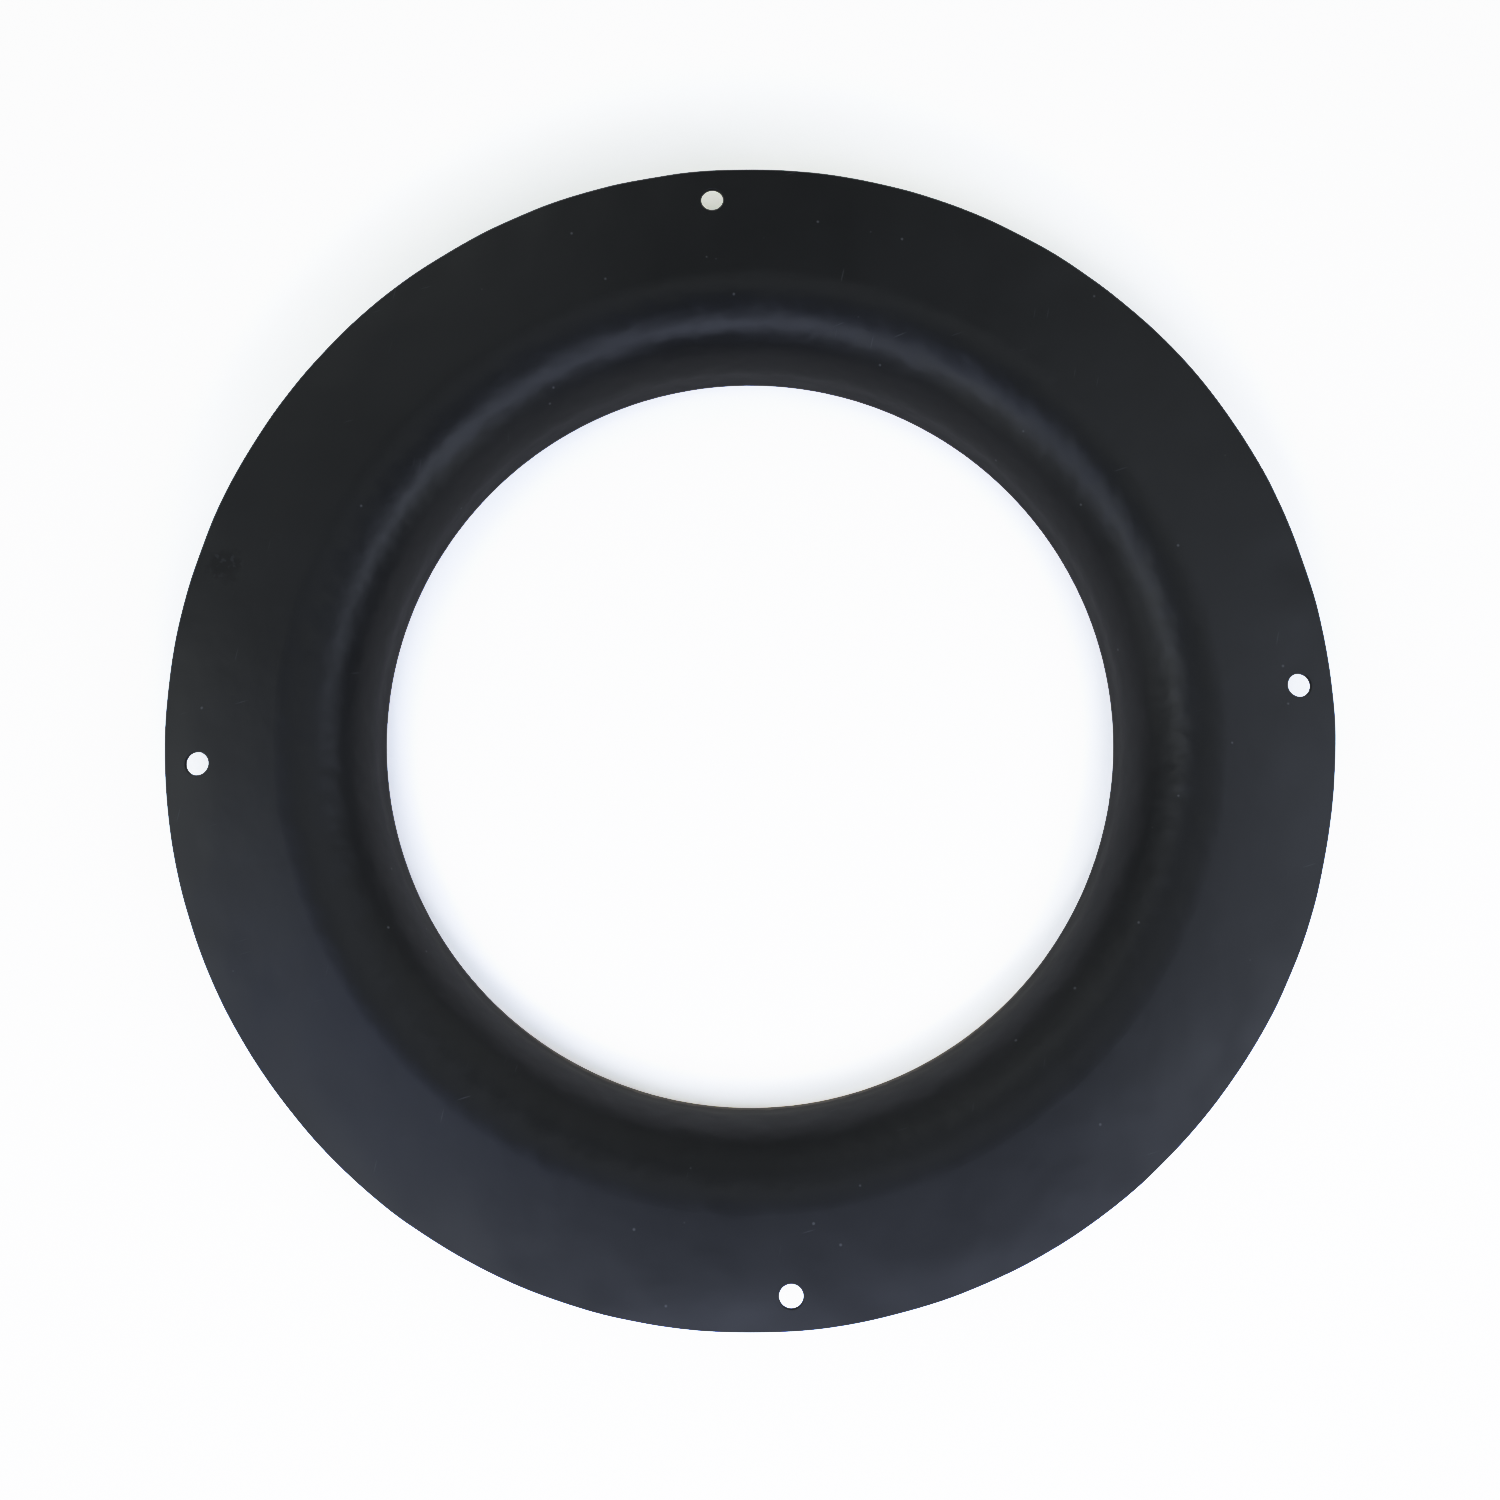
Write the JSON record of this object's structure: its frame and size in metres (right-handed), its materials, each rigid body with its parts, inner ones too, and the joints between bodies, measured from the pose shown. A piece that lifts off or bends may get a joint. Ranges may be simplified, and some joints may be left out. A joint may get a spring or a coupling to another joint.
{
  "type": "flanged bellmouth ring",
  "caption": "Round flat flange whose inner edge rolls smoothly into a short straight throat, with plain screw holes near its rim, to lead air or light through a round opening.",
  "frame": {"origin": "centre of the throat's rim, which the ring stands on", "axes": "+Z along the ring's axis, out of the flange's front face; a screw hole lies on each of +X, +Y, -X and -Y"},
  "size_m": [0.286, 0.286, 0.028],
  "materials": {
    "black_paint": "satin"
  },
  "bodies": {
    "root": {"bellmouth_ring": "black_paint"}
  },
  "joints": []
}
